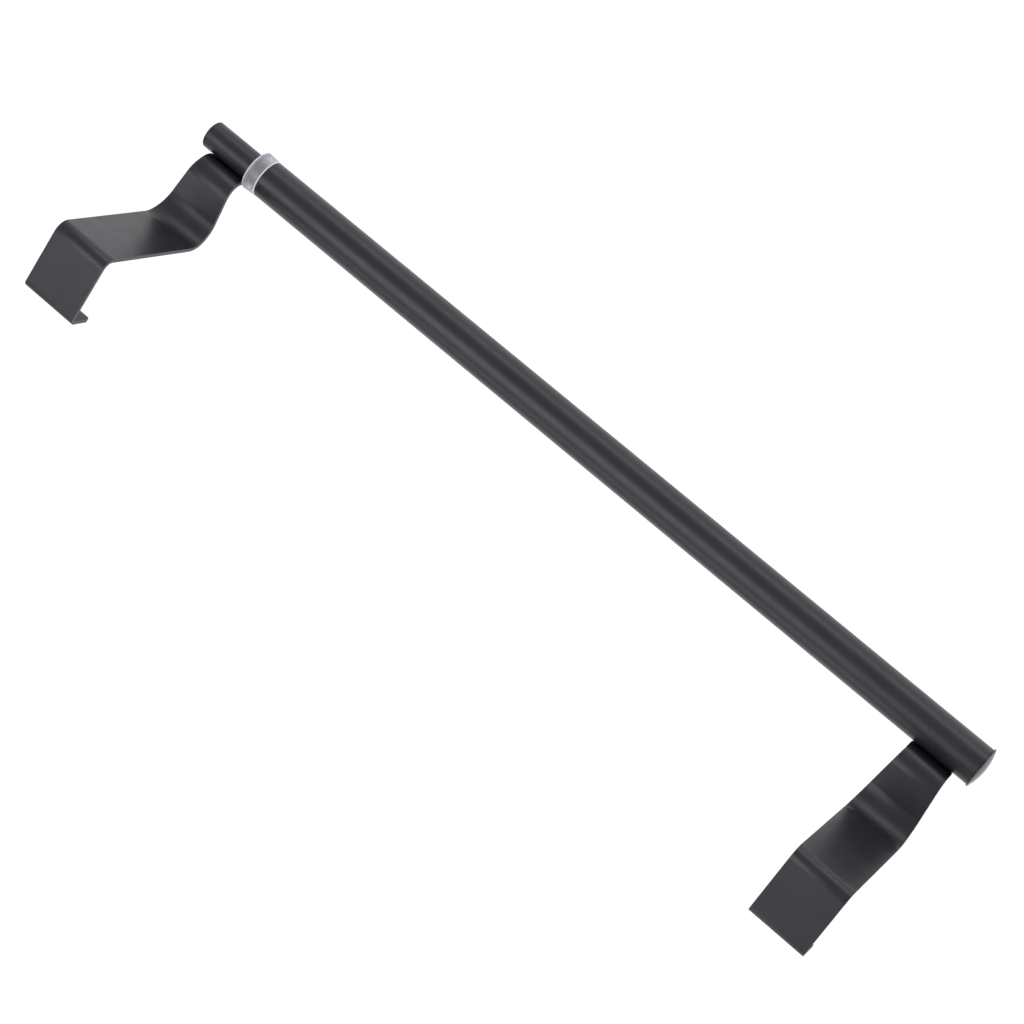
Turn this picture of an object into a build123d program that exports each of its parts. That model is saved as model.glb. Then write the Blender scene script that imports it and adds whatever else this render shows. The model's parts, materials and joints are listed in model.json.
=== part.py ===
"""Telescopic door security bar: two round tubes, one sliding in the other, each with a bent strip hook.

Millimetres, +Z up, as the bar hangs by its hooks on the top edge of a door.  +X runs along the bar
towards the inner tube, and +Y from the bar towards the door.  The origin is the middle of the outer
hook's seat: the underside of the strip, where it lies on the door's edge.
"""
from build123d import *
from math import acos, atan2, degrees, hypot
import os

# Tubes, measured along the bar from the outer tube's capped end
OUTER_R = 15.0
INNER_R = 11.0
TUBE_WALL = 1.5
OUTER_LENGTH = 664.0
INNER_START = 62.0           # where the retracted inner tube ends inside the outer tube
INNER_END = 718.5
TUBE_EDGE = 0.3              # broken edges of the tubes' ends

# Collar in the outer tube's mouth, widening from the tube towards its free face
COLLAR_TUBE_R = 15.25
COLLAR_FACE_R = 15.9
COLLAR_LENGTH = 11.5
COLLAR_EDGE = 0.5
SLEEVE_LENGTH = 40.0

# Split guide ring in the rolled groove of the inner tube
GUIDE_FROM_END = 50.0
GUIDE_WIDTH = 14.0
GUIDE_SPLIT = 2.0
GROOVE_DEPTH = 1.0
GROOVE_PLAY = 0.2            # axial play at each side of the ring
RUNNING_GAP = 0.05           # radial, between a ring or bush and the tube that slides on it

# End caps: the outer one is a thin rim with a shallow dome, the inner one a nearly flush disc
OUTER_CAP_R = 16.0
OUTER_CAP_RIM = 1.1
OUTER_CAP_DOME = 2.9
OUTER_CAP_EDGE = 0.3
INNER_CAP_FLANGE = 2.0
INNER_CAP_EDGE = 1.6
OUTER_SPIGOT = 14.0
INNER_SPIGOT = 9.0
SPIGOT_WALL = 2.0
SPIGOT_GAP = 0.6             # between a spigot's core and the tube's bore
RIB_WIDTH = 1.6              # ribs that grip the bore
RIB_PAIRS = 3

# Hooks: a strip with four right-angle bends into tab, arm, riser, seat and lip, its width along the bar.
# Heights are above the bar's axis, reaches are along +Y.
STRIP = 3.0
HOOK_WIDTH = 46.0
TAB_WIDTH = 35.0
TAB_BOTTOM = 0.5
ARM_TOP = 20.5
ARM_REACH = 54.2             # from the tab's inner face to the riser's inner face
SEAT_TOP = 150.5
SEAT_REACH = 57.0            # from the riser's inner face to the lip's outer face
LIP_DROP = 24.0
TAB_BEND = 12.5              # inner radii of the bends
ARM_BEND = 18.5
SEAT_BEND = 6.0
LIP_BEND = 2.2
LIP_CORNER = 3.0             # rounding of the strip's free corners
TAB_CORNER = 4.4
OUTER_HOOK_X = 29.0
INNER_HOOK_X = 694.3

# Welds: a bead of overlapping drops along the tab's end, in its corner with the tube
ROOT_GAP = 0.1               # between the tab and the tube it is welded to
DROP_R = 2.6
DROP_STEP = 2.0
DROPS = 12
DROP_REACH = 0.6             # from the tube's back to the drops' centres
DROP_BELOW = 2.1             # from the tab's end down to the drops' centres

# Worked out from the above
OUTER_BORE_R = OUTER_R - TUBE_WALL
INNER_BORE_R = INNER_R - TUBE_WALL
GROOVE_START = INNER_START + GUIDE_FROM_END
GROOVE_END = GROOVE_START + GUIDE_WIDTH + 2 * GROOVE_PLAY
SEAT_Y = OUTER_R + ROOT_GAP + ARM_REACH + SEAT_REACH / 2
SEAT_Z = SEAT_TOP - STRIP
INNER_SEAT_Y = SEAT_Y - OUTER_R + INNER_R
# Turn of the inner tube, top towards the door, that brings both hooks' seats over the same line
INNER_TURN = degrees(atan2(SEAT_Z, INNER_SEAT_Y) - acos(SEAT_Y / hypot(SEAT_Z, INNER_SEAT_Y)))
AXIS_TO_ORIGIN = Pos(-OUTER_HOOK_X, -SEAT_Y, -SEAT_Z)


def rod(start, end, radius):
    """A cylinder on the bar's axis between two distances along the bar."""
    return Pos(start, 0, 0) * extrude(Plane.YZ * Circle(radius), end - start)


def turned(outline):
    """A solid of revolution about the bar's axis from (distance along the bar, radius) points."""
    return revolve(make_face(Polyline(*outline, close=True)), Axis.X)


def outer_tube():
    return turned([
        (0, OUTER_BORE_R),
        (0, OUTER_R - TUBE_EDGE),
        (TUBE_EDGE, OUTER_R),
        (OUTER_LENGTH - TUBE_EDGE, OUTER_R),
        (OUTER_LENGTH, OUTER_R - TUBE_EDGE),
        (OUTER_LENGTH, OUTER_BORE_R),
    ])


def inner_tube():
    return turned([
        (INNER_START, INNER_BORE_R),
        (INNER_START, INNER_R - TUBE_EDGE),
        (INNER_START + TUBE_EDGE, INNER_R),
        (GROOVE_START, INNER_R),
        (GROOVE_START, INNER_R - GROOVE_DEPTH),
        (GROOVE_END, INNER_R - GROOVE_DEPTH),
        (GROOVE_END, INNER_R),
        (INNER_END - TUBE_EDGE, INNER_R),
        (INNER_END, INNER_R - TUBE_EDGE),
        (INNER_END, INNER_BORE_R),
        (GROOVE_END + 2 * TUBE_WALL, INNER_BORE_R),
        (GROOVE_END + TUBE_WALL, INNER_BORE_R - GROOVE_DEPTH),
        (GROOVE_START - TUBE_WALL, INNER_BORE_R - GROOVE_DEPTH),
        (GROOVE_START - 2 * TUBE_WALL, INNER_BORE_R),
    ])


def mouth_collar():
    """Plastic bush: a ring against the outer tube's mouth and a sleeve inside it."""
    ring = turned([
        (OUTER_LENGTH, 0),
        (OUTER_LENGTH, COLLAR_TUBE_R),
        (OUTER_LENGTH + COLLAR_LENGTH, COLLAR_FACE_R),
        (OUTER_LENGTH + COLLAR_LENGTH, 0),
    ])
    ring = fillet(ring.edges().filter_by(GeomType.CIRCLE), COLLAR_EDGE)
    sleeve = rod(OUTER_LENGTH - SLEEVE_LENGTH, OUTER_LENGTH + COLLAR_EDGE, OUTER_BORE_R - RUNNING_GAP)
    return ring + sleeve - rod(INNER_START, INNER_END, INNER_R + RUNNING_GAP)


def guide_ring():
    """Split plastic ring that fills the space between the tubes and travels with the inner one."""
    start = GROOVE_START + GROOVE_PLAY
    end = start + GUIDE_WIDTH
    ring = rod(start, end, OUTER_BORE_R - RUNNING_GAP)
    ring = chamfer(ring.edges().filter_by(GeomType.CIRCLE), TUBE_EDGE)
    ring -= rod(start, end, INNER_R - GROOVE_DEPTH + RUNNING_GAP)
    return ring - Pos((start + end) / 2, 0, -OUTER_R / 2) * Box(2 * GUIDE_WIDTH, GUIDE_SPLIT, OUTER_R)


def spigot(start, end, bore_r):
    """Hollow plug with lengthwise ribs that grip a tube's bore."""
    core_r = bore_r - SPIGOT_GAP
    grip_r = bore_r - RUNNING_GAP
    plug = rod(start, end, core_r)
    for pair in range(RIB_PAIRS):
        ribs = Box(end - start, RIB_WIDTH, 2 * grip_r)
        plug += Pos((start + end) / 2, 0, 0) * Rot(pair * 180 / RIB_PAIRS, 0, 0) * ribs
    return plug & rod(start, end, grip_r) - rod(start, end, core_r - SPIGOT_WALL)


def outer_end_cap():
    top = OUTER_CAP_RIM + OUTER_CAP_DOME
    dome_r = (OUTER_CAP_R ** 2 + OUTER_CAP_DOME ** 2) / (2 * OUTER_CAP_DOME)
    flange = rod(-top, 0, OUTER_CAP_R) & Pos(dome_r - top, 0, 0) * Sphere(dome_r)
    rim = flange.edges().filter_by(GeomType.CIRCLE).sort_by(Axis.X)[0]
    return fillet(rim, OUTER_CAP_EDGE) + spigot(0, OUTER_SPIGOT, OUTER_BORE_R)


def inner_end_cap():
    flange = rod(INNER_END, INNER_END + INNER_CAP_FLANGE, INNER_R)
    rim = flange.edges().filter_by(GeomType.CIRCLE).sort_by(Axis.X)[-1]
    return fillet(rim, INNER_CAP_EDGE) + spigot(INNER_END - INNER_SPIGOT, INNER_END, INNER_BORE_R)


def strip_profile(tab_face):
    """The bent strip seen along the bar: its two faces, joined at both ends."""
    riser = tab_face + ARM_REACH
    lip = riser + SEAT_REACH
    lip_end = SEAT_TOP - LIP_DROP
    upper = FilletPolyline(
        (tab_face, TAB_BOTTOM),
        (tab_face, ARM_TOP),
        (riser, ARM_TOP),
        (riser, SEAT_TOP),
        (lip, SEAT_TOP),
        (lip, lip_end),
        radius=[TAB_BEND + STRIP, ARM_BEND, SEAT_BEND + STRIP, LIP_BEND + STRIP],
    )
    lower = FilletPolyline(
        (tab_face + STRIP, TAB_BOTTOM),
        (tab_face + STRIP, ARM_TOP - STRIP),
        (riser + STRIP, ARM_TOP - STRIP),
        (riser + STRIP, SEAT_TOP - STRIP),
        (lip - STRIP, SEAT_TOP - STRIP),
        (lip - STRIP, lip_end),
        radius=[TAB_BEND, ARM_BEND + STRIP, SEAT_BEND, LIP_BEND],
    )
    ends = [Line(upper @ 0, lower @ 0), Line(upper @ 1, lower @ 1)]
    return make_face([*upper.edges(), *lower.edges(), *ends])


def strip_plan(tab_face):
    """The hook seen from above: narrow at the tube, growing along the arm to the full width."""
    riser = tab_face + ARM_REACH
    side = [
        (TAB_WIDTH / 2, 0),
        (TAB_WIDTH / 2, tab_face + STRIP),
        (HOOK_WIDTH / 2, riser),
        (HOOK_WIDTH / 2, riser + SEAT_REACH),
    ]
    other_side = [(-x, y) for x, y in reversed(side)]
    return make_face(Polyline(*side, *other_side, close=True))


def hook(tube_r, hook_x):
    """Strip bent into tab, arm, riser, seat and lip, with rounded free corners."""
    tab_face = tube_r + ROOT_GAP
    blank = Pos(-HOOK_WIDTH / 2, 0, 0) * extrude(Plane.YZ * strip_profile(tab_face), HOOK_WIDTH)
    plan = Pos(0, 0, TAB_BOTTOM) * extrude(strip_plan(tab_face), SEAT_TOP - TAB_BOTTOM)
    strip = blank & plan
    for end, radius in ((TAB_BOTTOM, TAB_CORNER), (SEAT_TOP - LIP_DROP, LIP_CORNER)):
        across = strip.edges().filter_by(Axis.Y)
        strip = fillet(across.filter_by_position(Axis.Z, end - 1, end + 1), radius)
    return Pos(hook_x, 0, 0) * strip


def hook_weld(tube_r, hook_x):
    """Bead in the corner between the tab's end and the tube's back."""
    bead = Part()
    for drop in range(DROPS):
        x = hook_x + (drop - (DROPS - 1) / 2) * DROP_STEP
        bead += Pos(x, tube_r + DROP_REACH, TAB_BOTTOM - DROP_BELOW) * Sphere(DROP_R)
    below_tab = Pos(hook_x, tube_r, TAB_BOTTOM - HOOK_WIDTH / 2) * Box(HOOK_WIDTH, HOOK_WIDTH, HOOK_WIDTH)
    return (bead & below_tab) - rod(hook_x - HOOK_WIDTH, hook_x + HOOK_WIDTH, tube_r)


def outer_parts():
    return {
        "outer_tube": outer_tube(),
        "mouth_collar": mouth_collar(),
        "outer_end_cap": outer_end_cap(),
        "outer_hook": hook(OUTER_R, OUTER_HOOK_X),
        "outer_hook_weld": hook_weld(OUTER_R, OUTER_HOOK_X),
        "guide_ring": guide_ring(),
    }


def inner_parts():
    """Everything that turns with the inner tube, turned until both hooks lie on the door together."""
    parts = {
        "inner_tube": inner_tube(),
        "inner_end_cap": inner_end_cap(),
        "inner_hook": hook(INNER_R, INNER_HOOK_X),
        "inner_hook_weld": hook_weld(INNER_R, INNER_HOOK_X),
    }
    return {node: Rot(-INNER_TURN, 0, 0) * shape for node, shape in parts.items()}


os.makedirs("parts", exist_ok=True)
for node, shape in {**outer_parts(), **inner_parts()}.items():
    export_step(AXIS_TO_ORIGIN * shape, f"parts/{node}.step")
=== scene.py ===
"""Looks of a telescopic door security bar: powder-coated tubes and hooks, frosted collar, moulded caps."""
import json
import math

import bpy
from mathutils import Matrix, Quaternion, Vector


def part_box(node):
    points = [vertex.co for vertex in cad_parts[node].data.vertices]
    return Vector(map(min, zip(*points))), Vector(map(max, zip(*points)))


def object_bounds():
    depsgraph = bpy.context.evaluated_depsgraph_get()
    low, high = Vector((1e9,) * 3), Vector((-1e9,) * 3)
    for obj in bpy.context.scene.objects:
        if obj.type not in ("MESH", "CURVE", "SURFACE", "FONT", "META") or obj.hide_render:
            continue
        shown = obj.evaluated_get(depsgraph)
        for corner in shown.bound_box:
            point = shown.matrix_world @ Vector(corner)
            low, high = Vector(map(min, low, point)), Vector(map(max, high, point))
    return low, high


# Camera: where it stands, the point it looks at, its roll, its lens on a 36 mm sensor
CAMERA_PLACE = Vector((-0.0869, -0.6922, 1.5998))
CAMERA_AIM = Vector((0.3287, -0.0394, -0.1))
CAMERA_ROLL = math.radians(-109.9)
CAMERA_LENS = 94.04
SENSOR = 36.0
CLIP_END = 100.0

# Studio
FLOOR_DROP = 0.6          # from the bar's lowest point down to the floor
FLOOR_X = 0.3             # of the floor's middle
FLOOR_SIZE = 30.0
FLOOR_GLOW = 0.36
WORLD_GLOW = 0.5
TOP_PLACE = Vector((1.1, 0.33, 2.2))
FRONT_OFFSET = Vector((0.1, -2.2, 0.32))      # from the bar's middle to the softbox
DOOR_SIDE_OFFSET = Vector((0, 2.2, 1.3))

# Finish
COATED_EDGE = 0.0005      # rounding that the coat gives the strip's edges
EDGE_SEGMENTS = 3
JOIN_DISTANCE = 0.00001           # between mesh points that are one
FLAT_ANGLE = math.radians(0.3)    # between triangles of one flat face
SHARP_ANGLE = math.radians(50)    # from which an edge is rounded
COLLAR_LENGTH = 0.0115    # of the collar's ring, from its free face
PAINTED_RIM_WIDTH = 0.0006        # of the ring's whiter rims, a painted highlight, and the fade beside them
PAINTED_RIM_FADE = 0.0004


def new_material(name):
    """A new material, with its node tree and its principled shader."""
    material = bpy.data.materials.new(name)
    material.use_nodes = True
    tree = material.node_tree
    return material, tree, tree.nodes["Principled BSDF"]


def add_node(tree, kind, inputs=None, **settings):
    """A node with its settings, whose inputs are given as values or as other nodes' outputs."""
    node = tree.nodes.new(kind)
    for key, value in settings.items():
        setattr(node, key, value)
    for key, value in (inputs or {}).items():
        if isinstance(value, bpy.types.NodeSocket):
            tree.links.new(value, node.inputs[key])
        else:
            node.inputs[key].default_value = value
    return node


def noise(tree, size, detail=2.0):
    """Noise in the part's own coordinates, with features of about that size in metres."""
    place = add_node(tree, "ShaderNodeTexCoord").outputs["Object"]
    inputs = {"Vector": place, "Scale": 1 / size, "Detail": detail}
    return add_node(tree, "ShaderNodeTexNoise", inputs).outputs["Fac"]


def spread(tree, value, low, high, from_low=0.3, from_high=0.7):
    """value, which lies about in from_low..from_high, mapped to low..high."""
    inputs = {"Value": value, "From Min": from_low, "From Max": from_high, "To Min": low, "To Max": high}
    return add_node(tree, "ShaderNodeMapRange", inputs).outputs["Result"]


def two_tone(tree, factor, first, second):
    """A colour between first, at a factor of 0, and second, at 1."""
    mix = add_node(tree, "ShaderNodeMix", data_type="RGBA")
    tree.links.new(factor, mix.inputs["Factor"])
    mix.inputs["A"].default_value = (*first, 1)
    mix.inputs["B"].default_value = (*second, 1)
    return mix.outputs["Result"]


def bump(tree, height, depth, normal=None):
    """A normal bent by height, which stands for depth metres at 1, over an earlier normal if given."""
    node = add_node(tree, "ShaderNodeBump", {"Height": height, "Strength": 1.0, "Distance": depth})
    if normal:
        tree.links.new(normal, node.inputs["Normal"])
    return node.outputs["Normal"]


def powder_coat():
    """Satin black powder coat: orange peel, fine grain and slightly uneven gloss."""
    material, tree, shader = new_material("powder_coat")
    tone = spread(tree, noise(tree, size=0.03), low=0.0, high=1.0)
    colour = two_tone(tree, tone, (0.0145, 0.014, 0.019), (0.019, 0.0185, 0.024))
    gloss = spread(tree, noise(tree, size=0.012, detail=4.0), low=0.34, high=0.40)
    peel = bump(tree, noise(tree, size=0.0022, detail=1.0), depth=0.00002)
    grain = bump(tree, noise(tree, size=0.0005, detail=2.0), depth=0.00001, normal=peel)
    shader.inputs["Specular Tint"].default_value = (0.97, 0.95, 1.0, 1)
    tree.links.new(colour, shader.inputs["Base Color"])
    tree.links.new(gloss, shader.inputs["Roughness"])
    tree.links.new(grain, shader.inputs["Normal"])
    return material


def frosted_plastic(start, end):
    """Milky plastic, through which the dark tube shows, with a painted highlight at both ends of the ring
    from start to end: whiter, less clear rims that stand in for light glowing at its edges.
    """
    material, tree, shader = new_material("frosted_plastic")
    place = add_node(tree, "ShaderNodeTexCoord").outputs["Object"]
    along = add_node(tree, "ShaderNodeSeparateXYZ", {"Vector": place}).outputs["X"]
    middle = (start + end) / 2
    offset = add_node(tree, "ShaderNodeMath", {0: along, 1: middle}, operation="SUBTRACT").outputs["Value"]
    distance = add_node(tree, "ShaderNodeMath", {0: offset}, operation="ABSOLUTE").outputs["Value"]
    half = (end - start) / 2
    # Painted highlight: the rims' whiter colour stands in for light glowing at the ring's edges, and there
    # the plastic is also made less clear.
    painted_rim_glow = spread(tree, distance, 0.0, 1.0, from_low=half - PAINTED_RIM_WIDTH - PAINTED_RIM_FADE, from_high=half - PAINTED_RIM_WIDTH)
    tone = spread(tree, noise(tree, size=0.006), low=0.0, high=1.0)
    body = two_tone(tree, tone, (0.86, 0.88, 0.96), (0.89, 0.91, 0.98))
    colour = add_node(tree, "ShaderNodeMix", data_type="RGBA")
    tree.links.new(painted_rim_glow, colour.inputs["Factor"])
    tree.links.new(body, colour.inputs["A"])
    colour.inputs["B"].default_value = (0.93, 0.93, 0.95, 1)
    clearness = spread(tree, painted_rim_glow, low=0.84, high=0.0, from_low=0.0, from_high=1.0)
    gloss = spread(tree, noise(tree, size=0.003, detail=3.0), low=0.36, high=0.40)
    frosting = bump(tree, noise(tree, size=0.0008), depth=0.000002)
    tree.links.new(colour.outputs["Result"], shader.inputs["Base Color"])
    tree.links.new(clearness, shader.inputs["Transmission Weight"])
    tree.links.new(gloss, shader.inputs["Roughness"])
    tree.links.new(frosting, shader.inputs["Normal"])
    return material


def moulded_plastic(name, dark, light, low, high):
    """Moulded plastic with a fine spark-eroded texture, its tones, and its lowest and highest roughness."""
    material, tree, shader = new_material(name)
    tone = spread(tree, noise(tree, size=0.004), low=0, high=1)
    gloss = spread(tree, noise(tree, size=0.002, detail=3.0), low, high)
    texture = bump(tree, noise(tree, size=0.0006, detail=3.0), depth=0.00002)
    tree.links.new(two_tone(tree, tone, dark, light), shader.inputs["Base Color"])
    tree.links.new(gloss, shader.inputs["Roughness"])
    tree.links.new(texture, shader.inputs["Normal"])
    return material


def paint_nodes(frame):
    """Gives every CAD node the material of its slot in the record."""
    ring_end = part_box("mouth_collar")[1].x
    finishes = {
        "black_coat": powder_coat(),
        "frosted_plastic": frosted_plastic(ring_end - COLLAR_LENGTH, ring_end),
        "guide_plastic": moulded_plastic(
            "natural_nylon", dark=(0.72, 0.70, 0.62), light=(0.78, 0.76, 0.69), low=0.4, high=0.5,
        ),
        "black_plastic": moulded_plastic(
            "black_plastic", dark=(0.02, 0.02, 0.022), light=(0.028, 0.028, 0.031), low=0.22, high=0.30,
        ),
    }
    for part in frame["record"]["subparts"]:
        mesh = frame["nodes"][part["node"]].data
        mesh.materials.clear()
        mesh.materials.append(finishes[part["material_slot"]])


def soften_edges(node):
    """Rounds the sharp edges of a strip, as its coat does, after joining its flat triangles."""
    join = node.modifiers.new("join", "WELD")
    join.merge_threshold = JOIN_DISTANCE
    flats = node.modifiers.new("flats", "DECIMATE")
    flats.decimate_type = "DISSOLVE"
    flats.angle_limit = FLAT_ANGLE
    edges = node.modifiers.new("edges", "BEVEL")
    edges.width = COATED_EDGE
    edges.segments = EDGE_SEGMENTS
    edges.limit_method = "ANGLE"
    edges.angle_limit = SHARP_ANGLE
    edges.harden_normals = True


def floor(lowest):
    """A pale matt floor below the hanging bar, which glows a little, as a lit paper sweep does."""
    material, tree, shader = new_material("floor_paint")
    tone = spread(tree, noise(tree, size=0.5), low=0, high=1)
    shade = two_tone(tree, tone, (0.86, 0.86, 0.86), (0.88, 0.88, 0.88))
    tree.links.new(shade, shader.inputs["Base Color"])
    shader.inputs["Roughness"].default_value = 0.9
    shader.inputs["Emission Color"].default_value = (1, 1, 1, 1)
    shader.inputs["Emission Strength"].default_value = FLOOR_GLOW
    bpy.ops.mesh.primitive_plane_add(size=FLOOR_SIZE, location=(FLOOR_X, 0, lowest - FLOOR_DROP))
    plane = bpy.context.object
    plane.name = "floor"
    plane.data.materials.append(material)


def softbox(name, place, aim, size, radiance):
    """An area light at a place that looks at aim, with the given radiance over its face."""
    data = bpy.data.lights.new(name, "AREA")
    data.shape = "RECTANGLE"
    data.size, data.size_y = size
    data.energy = radiance * math.pi * size[0] * size[1]
    light = bpy.data.objects.new(name, data)
    bpy.context.scene.collection.objects.link(light)
    light.location = place
    light.rotation_euler = (place - aim).to_track_quat("Z", "Y").to_euler()
    light.visible_camera = False


def lights(centre):
    """White surroundings, a softbox overhead and one on each side of the bar."""
    world = bpy.data.worlds.new("studio")
    world.use_nodes = True
    bpy.context.scene.world = world
    background = world.node_tree.nodes["Background"]
    background.inputs["Color"].default_value = (1, 1, 1, 1)
    background.inputs["Strength"].default_value = WORLD_GLOW
    straight_down = TOP_PLACE - Vector((0, 0, 1))
    softbox("top_box", TOP_PLACE, straight_down, size=(1.8, 1.5), radiance=2.3)
    softbox("front_box", centre + FRONT_OFFSET, centre, size=(2.6, 0.75), radiance=2.0)
    softbox("door_side_box", centre + DOOR_SIDE_OFFSET, centre, size=(2.6, 1.3), radiance=1.1)


def camera():
    """A long lens that looks down on the bar, rolled so that the bar lies diagonally."""
    data = bpy.data.cameras.new("camera")
    data.lens = CAMERA_LENS
    data.sensor_width = SENSOR
    data.clip_end = CLIP_END
    stand = bpy.data.objects.new("camera", data)
    bpy.context.scene.collection.objects.link(stand)
    look = (CAMERA_AIM - CAMERA_PLACE).to_track_quat("-Z", "Y")
    stand.location = CAMERA_PLACE
    stand.rotation_mode = "QUATERNION"
    stand.rotation_quaternion = look @ Quaternion((0, 0, 1), CAMERA_ROLL)
    bpy.context.scene.camera = stand


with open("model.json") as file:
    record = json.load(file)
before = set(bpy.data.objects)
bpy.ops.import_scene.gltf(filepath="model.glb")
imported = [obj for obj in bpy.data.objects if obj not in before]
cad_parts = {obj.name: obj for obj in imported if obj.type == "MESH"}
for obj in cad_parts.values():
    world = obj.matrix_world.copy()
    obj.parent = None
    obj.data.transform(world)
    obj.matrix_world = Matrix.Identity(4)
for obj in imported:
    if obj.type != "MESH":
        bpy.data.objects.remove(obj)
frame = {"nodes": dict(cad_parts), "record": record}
cad_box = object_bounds()
lowest, highest = cad_box
paint_nodes(frame)
for hook in ("outer_hook", "inner_hook"):
    soften_edges(frame["nodes"][hook])
floor(lowest.z)
lights((lowest + highest) / 2)
camera()
bpy.context.scene.view_settings.view_transform = "Standard"
